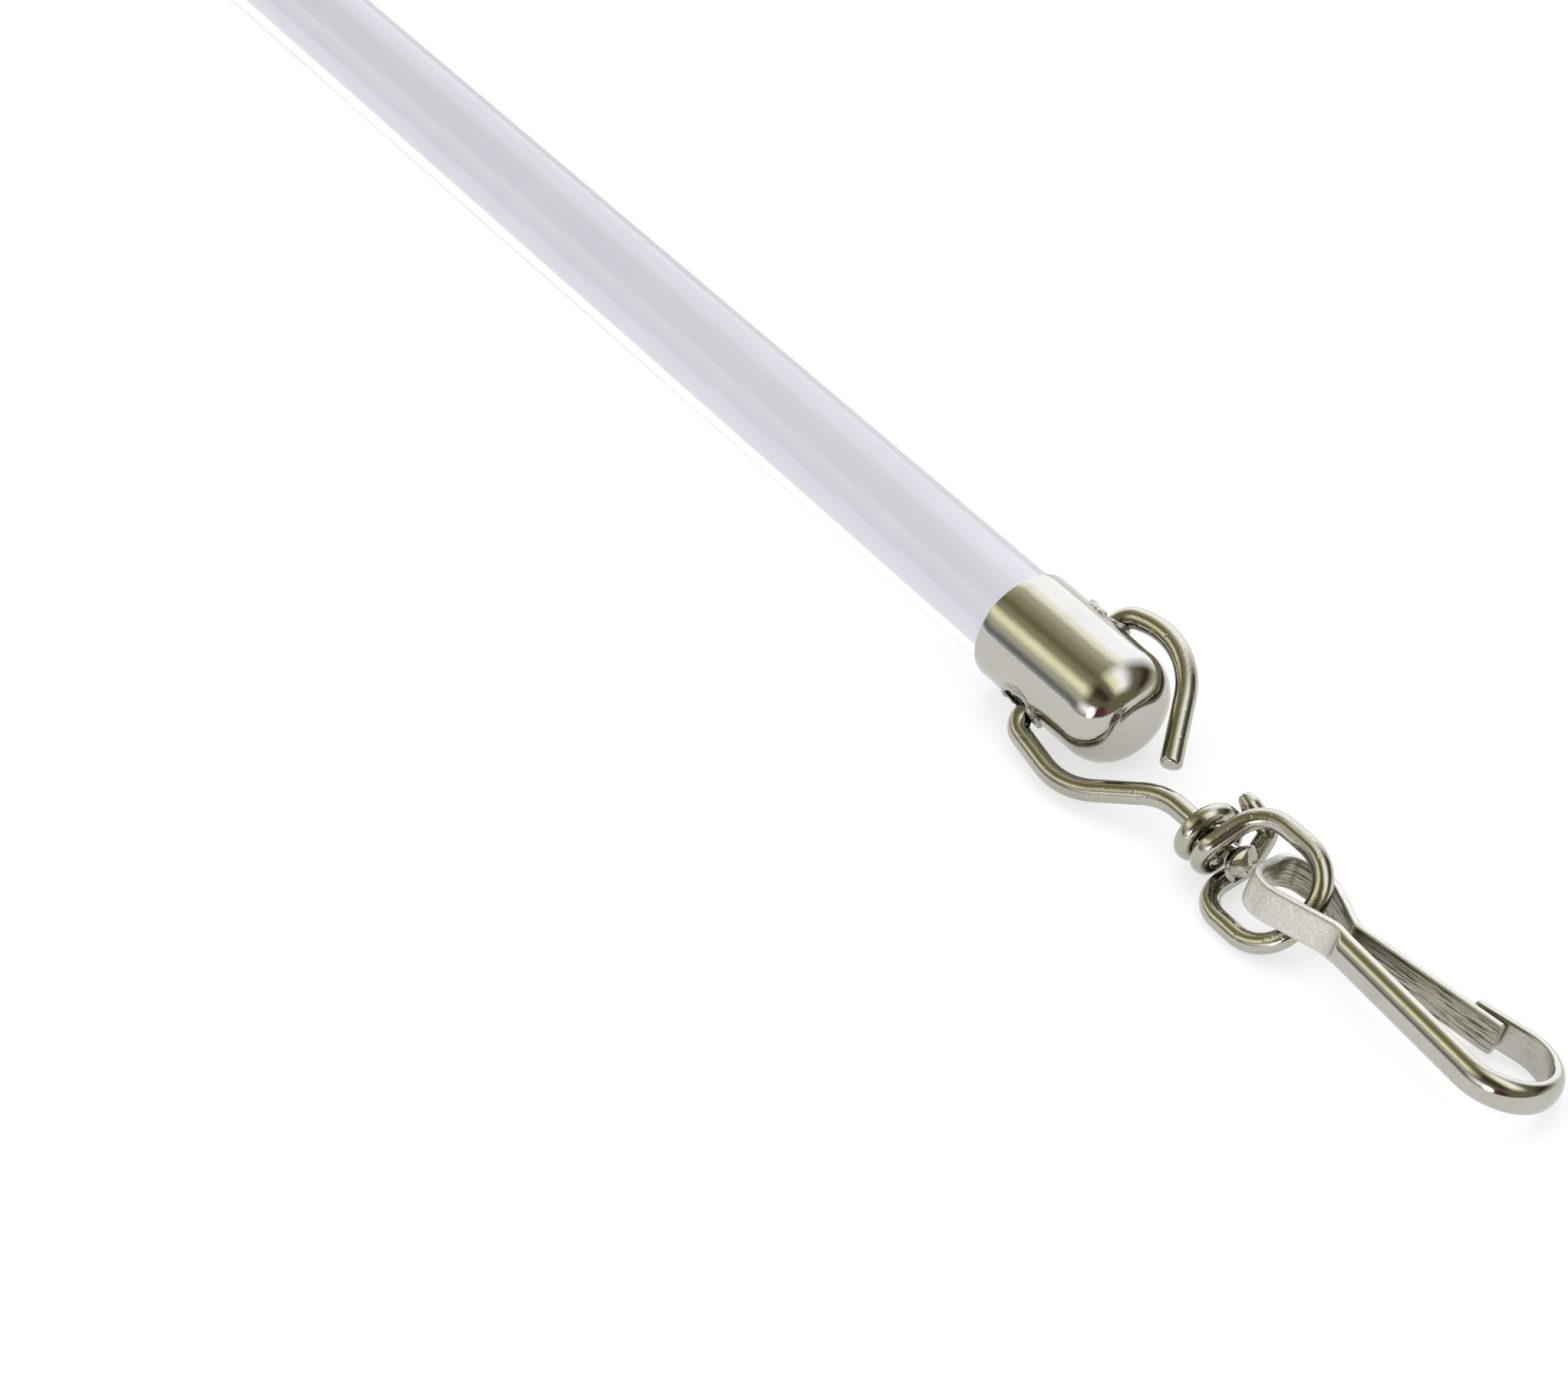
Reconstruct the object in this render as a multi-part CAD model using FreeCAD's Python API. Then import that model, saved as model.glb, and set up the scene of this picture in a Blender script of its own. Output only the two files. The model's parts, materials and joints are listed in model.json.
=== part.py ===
import FreeCAD, Part
import math
import os

os.makedirs("parts", exist_ok=True)

V = FreeCAD.Vector

# Rod: a clear round bar, cut plain at the far end.
rod_d = 9.5
rod_len = 762.0
rod_edge = 0.35

# Cap: a thin pressed sleeve with a closed, rounded end.
cap_wall = 0.5
cap_fit = 0.12
cap_behind = 6.0
cap_ahead = 9.76
cap_corner = 3.6
cap_rim = 0.2

# Cross hole through cap and rod, with burred lips on the cap.
hole_d = 4.0
lip_wall = 0.45
lip_high = 0.45

# Hook wire, in its own plane: along is away from its pivot, side is along the pivot.
wire_d = 1.96
wire_play = 0.3
free_knee = 6.65
leg_knee = 6.97
knee_r = 1.7
free_top = (4.65, 8.0)
free_turn = (9.0, 5.9)
free_end = (13.9, -0.75)
free_r = 7.6
leg_low = (8.01, -8.33)
leg_low_r = 7.0
shank_side = -2.94
shank_from = 15.51
shank_r = 6.0
head_from = 24.35
head_len = 2.05
head_d = 3.6
head_flare = 0.9
head_slope = 42.0
head_twist = 20.0
head_point = 0.25

# Swivel eye: wire wrapped round the shank, then bent to a ring.
eye_d = 1.8
eye_play = 0.25
coil_top = 21.0
coil_pitch = 2.0
ring_right = 4.6
ring_left = 4.68
ring_from = 24.6
ring_far = 33.0
ring_corner = 3.9
ring_start_r = 3.4
ring_back_r = 2.8
back_r = 2.2
tail_r = 0.9
ring_lift = 1.9
back_at = 24.3
back_low = 2.9
tail_turn = (24.1, 3.4, -2.2)
tail_end = (21.7, 4.05, -0.9)
tail_point = 1.1
tail_blunt = 0.55

# Snap hook, in its own plane: x runs from the eye to the hook's bend.
strip_w = 2.95
arm_t = 1.3
arm_side = 0.35
loop_w = 3.05
loop_t = 0.8
tongue_t = 0.75
strip_edge = 0.22
snap_tip = (15.4, 0.75)
snap_tip_rise = 0.125
snap_far = 24.25
snap_bend_r = 3.8
snap_neck = (3.3, -1.49)
snap_arm_slope = -0.2975
snap_step = 1.2
neck_r = 2.2
loop_low = (-4.45, -3.3)
loop_low_r = 1.9
loop_left = (-4.45, 3.35)
loop_left_r = 1.6
loop_top = (-0.55, 3.35)
loop_top_r = 2.2
tongue_root = (4.08, -0.34)
tongue_root_r = 1.2
tongue_from = 5.3
tongue_to = 18.55
tongue_cut = 0.15

# How the pieces lie on the table, in degrees.
hole_roll = 27.3
wire_swing = -0.6
eye_roll = 36.0
snap_yaw = 11.5
snap_pitch = -5.7
snap_roll = 21.0
snap_on_wire = 1.06
snap_hold = (0.09, 0.48)

rod_r = rod_d / 2
cap_in = rod_r + cap_fit
cap_r = cap_in + cap_wall
hole_r = hole_d / 2
wire_r = wire_d / 2
eye_r = eye_d / 2


def turn(angle):
    return math.radians(angle)


def bent_path(points, radii):
    """A path of straight runs, with an arc of its own radius at each corner."""
    edges = []
    at = points[0]
    for i in range(1, len(points) - 1):
        corner = points[i]
        first = (corner - points[i - 1]).normalize()
        second = (points[i + 1] - corner).normalize()
        bend = first.getAngle(second)
        back = radii[i - 1] * math.tan(bend / 2)
        start = corner - first * back
        end = corner + second * back
        inward = (second - first).normalize()
        middle = corner + inward * (radii[i - 1] / math.cos(bend / 2) - radii[i - 1])
        edges.append(Part.makeLine(at, start))
        edges.append(Part.Arc(start, middle, end).toShape())
        at = end
    edges.append(Part.makeLine(at, points[-1]))
    return Part.Wire(edges)


def round_wire(path, radius):
    start = path.Edges[0].Vertexes[0].Point
    way = path.Edges[0].tangentAt(path.Edges[0].FirstParameter)
    ring = Part.Wire([Part.makeCircle(radius, start, way)])
    return path.makePipeShell([ring], True, False)


def frame(origin, x_way, y_way):
    z_way = x_way.cross(y_way)
    return FreeCAD.Matrix(
        x_way.x, y_way.x, z_way.x, origin.x,
        x_way.y, y_way.y, z_way.y, origin.y,
        x_way.z, y_way.z, z_way.z, origin.z,
        0, 0, 0, 1)


def placed(shape, matrix):
    out = shape.copy()
    out.Placement = FreeCAD.Placement(matrix)
    return out


# Directions of the lying wand.
along = V(1, 0, 0)
cross = V(0, math.cos(turn(hole_roll)), math.sin(turn(hole_roll)))
above = along.cross(cross)
axis_high = cap_r
pivot = V(hole_r - wire_r - wire_play, 0, axis_high)

# Rod.
rod_top = cap_ahead - cap_corner - 0.2
rod = Part.makeCylinder(rod_r, rod_len, V(rod_top - rod_len, 0, axis_high), along)
plain_end = [e for e in rod.Edges if abs(e.BoundBox.XMax - (rod_top - rod_len)) < 0.01 and e.Closed]
rod = rod.makeChamfer(rod_edge, plain_end)
drill = Part.makeCylinder(hole_r, 4 * cap_r, V(0, 0, axis_high) - cross * 2 * cap_r, cross)
rod = rod.cut(drill)


# Cap: the section is turned about the rod's axis.
def cap_profile(radius, tail, end, corner):
    p0 = V(tail, 0, 0)
    p1 = V(tail, radius, 0)
    p2 = V(end - corner, radius, 0)
    p3 = V(end - corner + corner * math.sin(turn(45)), radius - corner + corner * math.cos(turn(45)), 0)
    p4 = V(end, radius - corner, 0)
    p5 = V(end, 0, 0)
    edges = [Part.makeLine(p0, p1), Part.makeLine(p1, p2), Part.Arc(p2, p3, p4).toShape()]
    edges += [Part.makeLine(p4, p5), Part.makeLine(p5, p0)]
    return Part.Face(Part.Wire(edges)).revolve(V(0, 0, 0), along, 360)


shell = cap_profile(cap_r, -cap_behind, cap_ahead, cap_corner)
rim = [e for e in shell.Edges if e.Closed and abs(e.BoundBox.XMax + cap_behind) < 0.01]
shell = shell.makeFillet(cap_rim, rim)
hollow = cap_profile(cap_in, -cap_behind - 1, cap_ahead - cap_wall, cap_corner - cap_wall)
flat_cross = V(0, math.cos(turn(hole_roll)), math.sin(turn(hole_roll)))
skin = Part.makeCylinder(cap_r + lip_high, 8 * hole_r, V(-4 * hole_r, 0, 0), along)
lips = Part.makeCylinder(hole_r + lip_wall, 4 * cap_r, flat_cross * -2 * cap_r, flat_cross).common(skin)
bore = Part.makeCylinder(hole_r, 4 * cap_r, flat_cross * -2 * cap_r, flat_cross)
cap = shell.fuse(lips).cut(hollow).cut(bore)
cap.translate(V(0, 0, axis_high))

# Hook wire: free end, top, across the rod, low leg, shank.
out_way = along * math.cos(turn(wire_swing)) + above * math.sin(turn(wire_swing))


def in_hook(reach, side):
    return pivot + out_way * reach + cross * side


hook_points = [in_hook(*free_end), in_hook(*free_turn), in_hook(*free_top), in_hook(0, free_knee)]
hook_points += [in_hook(0, -leg_knee), in_hook(*leg_low), in_hook(shank_from, shank_side)]
hook_points += [in_hook(head_from + 0.3, shank_side)]
hook = round_wire(bent_path(hook_points, [free_r, free_r, knee_r, knee_r, leg_low_r, shank_r]), wire_r)

# The shank's pinched head: a flare with four sloping faces.
head_at = in_hook(head_from, shank_side)
flare = Part.makeCone(wire_r, head_d / 2, head_flare, head_at, out_way)
blunt = Part.makeCylinder(head_d / 2, head_len - head_flare, head_at + out_way * head_flare, out_way)
head = flare.fuse(blunt)
to_axis = FreeCAD.Rotation(V(0, 0, 1), out_way)
lean = FreeCAD.Rotation(V(0, 1, 0), head_slope)
point = head_at + out_way * (head_len + head_point)
for k in range(4):
    roof = Part.makeBox(4 * head_d, 4 * head_d, 2 * head_d, V(-2 * head_d, -2 * head_d, 0))
    around = FreeCAD.Rotation(V(0, 0, 1), 90 * k + head_twist)
    roof.Placement = FreeCAD.Placement(point, to_axis.multiply(around).multiply(lean))
    head = head.cut(roof)
hook = hook.fuse(head).removeSplitter()

# Swivel eye, in a frame on the shank: s along it, p across the ring, q up from the ring.
level = V(0, 0, 1).cross(out_way).normalize()
rise = out_way.cross(level)
across = level * math.cos(turn(eye_roll)) + rise * math.sin(turn(eye_roll))
up = out_way.cross(across)
shank = in_hook(0, shank_side)


def in_eye(s, p, q):
    return shank + out_way * s + across * p + up * q


coil_r = wire_r + eye_play + eye_r
step = coil_pitch / 4
eye_points = [in_eye(coil_top - 2 * step, 0.3, -coil_r)]
corners = [(-1, -1), (-1, 1), (1, 1), (1, -1), (-1, -1), (-1, 1)]
for k, (p_sign, q_sign) in enumerate(corners):
    eye_points.append(in_eye(coil_top + (k - 1.5) * step, p_sign * coil_r, q_sign * coil_r))
eye_points.append(in_eye(ring_from, ring_right, ring_lift))
eye_points.append(in_eye(ring_far, ring_right, 0))
eye_points.append(in_eye(ring_far, -ring_left, 0))
eye_points.append(in_eye(back_at - 0.2, -ring_left, -0.2))
eye_points.append(in_eye(back_at, 0.2, -back_low))
eye_points.append(in_eye(*tail_turn))
eye_points.append(in_eye(*tail_end))
eye_radii = [coil_r * 0.96] * 6 + [ring_start_r, ring_corner, ring_corner, ring_back_r, back_r, tail_r]
eye = round_wire(bent_path(eye_points, eye_radii), eye_r)

# The eye's short tail is pinched off to a blunt point.
tail_way = (eye_points[-1] - eye_points[-2]).normalize()
tail = Part.makeCone(eye_r * 0.98, tail_blunt, tail_point, eye_points[-1] - tail_way * 0.1, tail_way)
eye = eye.fuse(tail)

# Snap hook: flat sections swept along the inside line of the bent strip.
yaw = turn(snap_yaw)
pitch = turn(snap_pitch)
roll = turn(snap_roll)
run = V(math.cos(yaw) * math.cos(pitch), math.sin(yaw) * math.cos(pitch), math.sin(pitch))
flat = V(-math.sin(yaw), math.cos(yaw), 0)
steep = run.cross(flat)
aside = flat * math.cos(roll) - steep * math.sin(roll)
wide = run.cross(aside)
hold = in_eye(ring_far, snap_on_wire, 0)
snap_zero = hold - run * snap_hold[0] - aside * snap_hold[1]
snap_frame = frame(snap_zero, run, aside)


def strip_section(start, way, width, thick, edge):
    """A flat bar, its inner face on the path, with rounded edges."""
    side = V(0, 0, 1)
    out = way.cross(side)
    h = width / 2
    e = edge
    d = edge * (1 - math.cos(turn(45)))

    def at(a, b):
        return start + side * a + out * b

    c = [at(-h + e, 0), at(h - e, 0), at(h - d, d), at(h, e), at(h, thick - e), at(h - d, thick - d)]
    c += [at(h - e, thick), at(-h + e, thick), at(-h + d, thick - d), at(-h, thick - e), at(-h, e)]
    c += [at(-h + d, d)]
    edges = [Part.makeLine(c[0], c[1]), Part.Arc(c[1], c[2], c[3]).toShape(), Part.makeLine(c[3], c[4])]
    edges += [Part.Arc(c[4], c[5], c[6]).toShape(), Part.makeLine(c[6], c[7])]
    edges += [Part.Arc(c[7], c[8], c[9]).toShape(), Part.makeLine(c[9], c[10])]
    edges += [Part.Arc(c[10], c[11], c[0]).toShape()]
    return Part.Wire(edges)


def half_round_section(start, way, width, thick, flank, edge):
    """A half-round bar, its flat face on the path."""
    side = V(0, 0, 1)
    out = way.cross(side)
    h = width / 2
    d = edge * (1 - math.cos(turn(45)))

    def at(a, b):
        return start + side * a + out * b

    edges = [Part.makeLine(at(-h + edge, 0), at(h - edge, 0))]
    edges += [Part.Arc(at(h - edge, 0), at(h - d, d), at(h, edge)).toShape()]
    edges += [Part.makeLine(at(h, edge), at(h, flank))]
    edges += [Part.Arc(at(h, flank), at(0, thick), at(-h, flank)).toShape()]
    edges += [Part.makeLine(at(-h, flank), at(-h, edge))]
    edges += [Part.Arc(at(-h, edge), at(-h + d, d), at(-h + edge, 0)).toShape()]
    return Part.Wire(edges)


def flat_point(x, y):
    return V(x, y, 0)


tip_line = snap_tip[1] + snap_tip_rise * (snap_far - snap_tip[0])
arm_line = snap_neck[1] + snap_arm_slope * (snap_far - snap_neck[0])
step_at = flat_point(snap_neck[0] + snap_step, snap_neck[1] + snap_arm_slope * snap_step)
arm_points = [flat_point(*snap_tip), flat_point(snap_far, tip_line), flat_point(snap_far, arm_line), step_at]
arm_path = bent_path(arm_points, [snap_bend_r, snap_bend_r])
arm_way = (arm_points[1] - arm_points[0]).normalize()
arm_section = half_round_section(arm_points[0], arm_way * -1, strip_w, arm_t, arm_side, strip_edge)
arm = arm_path.makePipeShell([arm_section], True, False)

neck_way = (flat_point(*snap_neck) - step_at).normalize()
loop_points = [step_at - neck_way * 0.05, flat_point(*snap_neck), flat_point(*loop_low)]
loop_points += [flat_point(*loop_left), flat_point(*loop_top), flat_point(*tongue_root)]
loop_points += [flat_point(tongue_from, tongue_root[1])]
loop_radii = [neck_r, loop_low_r, loop_left_r, loop_top_r, tongue_root_r]
loop_path = bent_path(loop_points, loop_radii)
loop_section = strip_section(loop_points[0], neck_way * -1, loop_w, loop_t, strip_edge)
loop = loop_path.makePipeShell([loop_section], True, False)
snap = placed(arm.fuse(loop), snap_frame)

# Tongue: the strip's sprung end, which closes the hook from inside.
tongue_points = [flat_point(tongue_from + tongue_cut, tongue_root[1]), flat_point(tongue_to, tongue_root[1])]
tongue_path = Part.Wire([Part.makeLine(*tongue_points)])
tongue_section = strip_section(tongue_points[0], along * -1, strip_w, tongue_t, strip_edge)
tongue = tongue_path.makePipeShell([tongue_section], True, False)
tongue = placed(tongue, snap_frame)

# Every piece goes to one frame: on the table, midway along the wand.
pieces = {"rod": rod, "cap": cap, "hook_wire": hook, "swivel_eye": eye, "snap_hook": snap, "snap_tongue": tongue}
whole = Part.makeCompound(list(pieces.values())).BoundBox
middle = V(-(whole.XMin + whole.XMax) / 2, 0, 0)
for name, shape in pieces.items():
    done = shape.copy()
    done.translate(middle)
    done.exportStep("parts/" + name + ".step")
    box = done.BoundBox
    print(name, done.ShapeType, len(done.Solids), round(done.Volume, 2), done.isValid())
    print("  ", [round(v, 2) for v in (box.XMin, box.XMax, box.YMin, box.YMax, box.ZMin, box.ZMax)])
tongue_pivot = snap_zero + run * tongue_from + aside * (tongue_root[1] + tongue_t / 2)
print("pivot", pivot + middle, "cross", cross)
print("spin", in_eye(coil_top, 0, 0) + middle, "way", out_way)
print("hold", hold + middle, "across", across)
print("tongue", tongue_pivot + middle, "wide", wide)
print("snap frame", snap_zero + middle, run, aside, wide)
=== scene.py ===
# %% [markdown]
# # A curtain wand in nickel and clear plastic
# A curtain wand is a clear rod with a small chain of metal fittings: a pressed cap, a bent hook wire,
# a swivel eye and a snap hook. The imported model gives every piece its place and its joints. This
# lesson keeps those places and gives each piece a finer mesh and a finish of its own.

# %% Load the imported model
import json
import math

import bmesh
import bpy
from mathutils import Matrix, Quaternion, Vector, noise


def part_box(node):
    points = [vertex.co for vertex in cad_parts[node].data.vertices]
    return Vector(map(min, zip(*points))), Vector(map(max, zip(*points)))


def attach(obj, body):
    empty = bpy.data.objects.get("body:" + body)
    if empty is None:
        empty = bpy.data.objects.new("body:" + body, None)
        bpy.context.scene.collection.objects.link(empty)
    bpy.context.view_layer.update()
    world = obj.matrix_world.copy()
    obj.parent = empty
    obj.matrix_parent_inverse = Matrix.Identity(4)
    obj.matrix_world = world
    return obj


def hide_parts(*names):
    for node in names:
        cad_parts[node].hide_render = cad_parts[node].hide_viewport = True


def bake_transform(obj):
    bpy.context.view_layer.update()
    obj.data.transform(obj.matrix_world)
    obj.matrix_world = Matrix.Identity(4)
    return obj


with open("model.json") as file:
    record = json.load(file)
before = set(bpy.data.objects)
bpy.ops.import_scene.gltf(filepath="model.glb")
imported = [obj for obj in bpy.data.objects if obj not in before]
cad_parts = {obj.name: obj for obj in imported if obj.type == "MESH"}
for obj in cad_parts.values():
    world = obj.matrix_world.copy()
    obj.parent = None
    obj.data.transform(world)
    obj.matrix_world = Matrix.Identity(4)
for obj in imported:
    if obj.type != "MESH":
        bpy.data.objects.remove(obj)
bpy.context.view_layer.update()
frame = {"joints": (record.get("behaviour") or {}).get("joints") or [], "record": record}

# %% [markdown]
# ## Where the joints are
# Each fitting turns about a wire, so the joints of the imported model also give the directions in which
# the wires lie. Reading them from the model keeps the fine meshes on the same lines as the solids.
# Lengths below are in millimetres, and the meshes turn them into metres as they are made.

# %% Read the joints
joints = {j["name"]: j for j in frame["joints"]}
mounts = {m["name"]: m for m in frame["record"]["mounts"]}


def joint_line(name):
    """The joint's point in millimetres, and its direction."""
    return Vector(joints[name]["pos_m"]) * 1000, Vector(joints[name]["axis"]).normalized()


pivot, cross = joint_line("hook_swing")
spin_point, out_way = joint_line("swivel_spin")
hold, across = joint_line("snap_swing")
tongue_axis = joint_line("tongue_press")[1]
run = Vector(mounts["carrier_hook"]["axis"]).normalized()
wide = -tongue_axis
aside = wide.cross(run).normalized()
along = Vector((1, 0, 0))
up = out_way.cross(across).normalized()
print("pivot", pivot[:], "spin", spin_point[:], "hold", hold[:])

# %% [markdown]
# The hook wire is pulled towards the cap's end. The middle of its cross hole therefore lies a little
# behind the wire's own middle.

# %% Find the cross hole
HOLE_R = 2.0
WIRE_R = 0.98
WIRE_PLAY = 0.3

hole_x = pivot.x - (HOLE_R - WIRE_R - WIRE_PLAY)
hole_middle = Vector((hole_x, 0, pivot.z))
print("hole at", hole_middle[:])

# %% [markdown]
# ## The camera
# The picture looks down on the fittings from the front, close up, so the rod leaves the frame at the
# upper left. A long lens keeps the small wires from looking stretched. The place and direction were
# found by fitting the cap's and the rod's edges.

# %% Place the camera
LENS = 90.42
SENSOR = 36
NEAREST = 0.01
CAMERA_FROM_HOLE = (188.8, -165.9, 230.5)
CAMERA_WAY = Vector((-0.599, 0.432, -0.674))

camera_data = bpy.data.cameras.new("camera")
camera_data.sensor_fit = "HORIZONTAL"
camera_data.sensor_width = SENSOR
camera_data.lens = LENS
camera_data.clip_start = NEAREST
camera = bpy.data.objects.new("camera", camera_data)
bpy.context.scene.collection.objects.link(camera)
camera.location = Vector((hole_x + CAMERA_FROM_HOLE[0], *CAMERA_FROM_HOLE[1:])) / 1000
camera.rotation_mode = "QUATERNION"
camera.rotation_quaternion = CAMERA_WAY.to_track_quat("-Z", "Y")
bpy.context.scene.camera = camera
print("camera at", camera.location[:])

# %% [markdown]
# ## Node helpers
# Materials are trees of nodes. `add` makes a node, sets its options and joins or sets its inputs, so
# that each material below reads as a list of what it is made of. Four kinds of node come back all the
# time, so they have short names: a sum, a colour mix, a value stretched between two limits, and a
# ramp of colours.

# %% Helpers for nodes


def add(tree, kind, inputs=None, **options):
    """A new node: options are its settings, inputs are constants or other nodes' sockets."""
    made = tree.nodes.new("ShaderNode" + kind)
    for name, value in options.items():
        setattr(made, name, value)
    for name, value in (inputs or {}).items():
        if isinstance(value, bpy.types.NodeSocket):
            tree.links.new(value, made.inputs[name])
        else:
            made.inputs[name].default_value = value
    return made


def calculate(tree, operation, *values, clamp=False):
    """The result of a sum on constants or sockets."""
    made = add(tree, "Math", dict(enumerate(values)), operation=operation, use_clamp=clamp)
    return made.outputs[0]


def mix_colour(tree, share, first, second):
    """The colour between first and second."""
    return add(tree, "Mix", {0: share, 6: first, 7: second}, data_type="RGBA").outputs[2]


def between(tree, value, low, high):
    """0 where the value is low, 1 where it is high, and an even change from one to the other."""
    made = add(tree, "MapRange", {"Value": value, "From Min": low, "From Max": high})
    return made.outputs[0]


def colour_ramp(tree, value, stops):
    """A colour ramp's node over a value, from a list of (position, colour)."""
    ramp = add(tree, "ValToRGB", {"Fac": value})
    while len(ramp.color_ramp.elements) < len(stops):
        ramp.color_ramp.elements.new(0.5)
    for element, (position, colour) in zip(ramp.color_ramp.elements, stops):
        element.position = position
        element.color = (*colour, 1)
    return ramp


print("node helpers ready")

# %% Helpers for groups and materials


def new_group(name, inputs, outputs):
    """A shader node group with named sockets: its tree, its input node and its output node."""
    tree = bpy.data.node_groups.new(name, "ShaderNodeTree")
    for label, kind, value in inputs:
        socket = tree.interface.new_socket(label, in_out="INPUT", socket_type="NodeSocket" + kind)
        if value is not None:
            socket.default_value = value
    for label, kind in outputs:
        tree.interface.new_socket(label, in_out="OUTPUT", socket_type="NodeSocket" + kind)
    return tree, tree.nodes.new("NodeGroupInput"), tree.nodes.new("NodeGroupOutput")


def empty_material(name):
    """A material without nodes, and its tree."""
    material = bpy.data.materials.new(name)
    material.use_nodes = True
    material.node_tree.nodes.clear()
    return material, material.node_tree


def new_material(name):
    """A plain material: the material, its tree, its shader and its output."""
    material, tree = empty_material(name)
    shader = add(tree, "BsdfPrincipled")
    output = add(tree, "OutputMaterial", {"Surface": shader.outputs[0]})
    return material, tree, shader, output


print("material helpers ready")

# %% [markdown]
# ## The studio
# Polished metal shows the room more than itself. The real fittings lay on white paper, with a pale
# lamp overhead, a window to one side and a dim room round them, which is why the nickel looks olive
# and gold between white streaks. The room is painted on the world as soft stripes round the rod's
# direction: one set beside and behind the fittings, another in front of them. Three round spots lie
# over the stripes: the dim space straight ahead, a dark cloth and a small, low lamp.

# %% Choose the room's colours
LAMP = (1.85, 1.90, 2.05)
CEILING = (1.60, 1.57, 1.36)
WALL = (0.70, 0.68, 0.54)
DUSK = (0.44, 0.41, 0.26)
DIM = (0.24, 0.22, 0.13)
DARK = (0.06, 0.05, 0.04)
WINDOW = (1.52, 1.50, 1.08)
TABLE_EDGE = (0.23, 0.25, 0.26)
TABLE = (0.50, 0.54, 0.60)
CLOTH = (0.50, 0.33, 0.33)
DARK_CLOTH = (0.15, 0.055, 0.07)
LOW_LAMP = (2.60, 2.60, 2.70)

# A stripe is its place on the half turn from the far side, over the top, to the near side, and its
# colour.
BESIDE = [(0.00, LAMP), (0.26, LAMP), (0.34, CEILING), (0.42, WALL), (0.52, DUSK), (0.61, DIM),
          (0.69, DUSK), (0.78, WINDOW), (0.87, WALL), (0.95, TABLE_EDGE), (1.00, TABLE)]
FRONT = [(0.00, WALL), (0.12, DARK), (0.26, DIM), (0.44, LAMP), (0.53, WINDOW), (0.62, DIM),
         (0.70, DARK), (0.84, DIM), (0.92, LAMP), (1.00, CLOTH)]
# A spot is its direction, the cosines of its soft edge and of its core, and its colour.
SPOTS = [((1, 0, 0), 0.72, 0.90, DIM),
         ((0.76, -0.64, 0.10), 0.945, 0.98, DARK_CLOTH),
         ((0.47, -0.87, 0.16), 0.980, 0.990, LOW_LAMP)]
BEHIND_X = -0.3
AHEAD_X = 0.2
print("stripes", len(BESIDE), "beside and", len(FRONT), "in front,", len(SPOTS), "spots")

# %% [markdown]
# Only reflections see the room. Everything else, the camera too, sees plain white.

# %% Paint the room
PLAIN_WHITE = (0.92, 0.92, 0.93, 1)

world = bpy.data.worlds.new("room")
bpy.context.scene.world = world
world.use_nodes = True
room = world.node_tree
room.nodes.clear()
look = add(room, "TexCoord").outputs["Generated"]
parts = add(room, "SeparateXYZ", {"Vector": look})
angle = calculate(room, "ARCTAN2", parts.outputs["Z"], parts.outputs["Y"])
turn = between(room, angle, 0.0, math.pi)
sets = []
for stops in (BESIDE, FRONT):
    stripes = colour_ramp(room, turn, stops)
    stripes.color_ramp.interpolation = "EASE"
    sets.append(stripes.outputs[0])
painted = mix_colour(room, between(room, parts.outputs["X"], BEHIND_X, AHEAD_X), *sets)
for direction, edge, core, colour in SPOTS:
    facing = add(room, "VectorMath", {0: look, 1: direction}, operation="DOT_PRODUCT")
    inside = between(room, facing.outputs["Value"], edge, core)
    painted = mix_colour(room, inside, painted, (*colour, 1))
mirrored = add(room, "Background", {"Color": painted, "Strength": 1.0})
plain = add(room, "Background", {"Color": PLAIN_WHITE, "Strength": 1.0})
glossy = add(room, "LightPath").outputs["Is Glossy Ray"]
chosen = add(room, "MixShader", {0: glossy, 1: plain.outputs[0], 2: mirrored.outputs[0]})
add(room, "OutputWorld", {"Surface": chosen.outputs[0]})
print("room painted with", len(room.nodes), "nodes")

# %% [markdown]
# The paper is one large plane. More than half of its white is its own, for the camera and for what is
# seen in metal and plastic, and the rest is lit, so the wand still leaves a soft shadow.

# %% Lay the paper
PAPER_HALF = 6.0
PAPER_OWN = 0.62

corners = [(x * PAPER_HALF, y * PAPER_HALF, 0) for x, y in ((-1, -1), (1, -1), (1, 1), (-1, 1))]
paper_mesh = bpy.data.meshes.new("paper")
paper_mesh.from_pydata(corners, [], [(0, 1, 2, 3)])
paper = bpy.data.objects.new("paper", paper_mesh)
bpy.context.scene.collection.objects.link(paper)
paper_look, tree = empty_material("paper")
path = add(tree, "LightPath").outputs
shown = calculate(tree, "MAXIMUM", path["Is Camera Ray"], path["Is Glossy Ray"])
shown = calculate(tree, "MAXIMUM", shown, path["Is Transmission Ray"])
share = calculate(tree, "MULTIPLY", shown, PAPER_OWN)
lit = add(tree, "BsdfDiffuse", {"Color": (0.93, 0.93, 0.93, 1)})
white = add(tree, "Emission", {"Color": (1, 1, 1, 1), "Strength": 1.0})
mixed = add(tree, "MixShader", {0: share, 1: lit.outputs[0], 2: white.outputs[0]})
add(tree, "OutputMaterial", {"Surface": mixed.outputs[0]})
paper_mesh.materials.append(paper_look)
print("paper", 2 * PAPER_HALF, "m wide")

# %% [markdown]
# Two large, square lamps light the paper and the rod. Reflections leave them out, because the painted
# room stands for them.

# %% Hang the lamps
FITTINGS = Vector((0.37, 0, 0))
# A lamp is its name, its place from the fittings, its size and its power.
LAMPS = [("overhead", (-0.3, 0.4, 1.6), 1.6, 12), ("window", (-0.6, -1.2, 0.9), 1.0, 6)]

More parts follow.
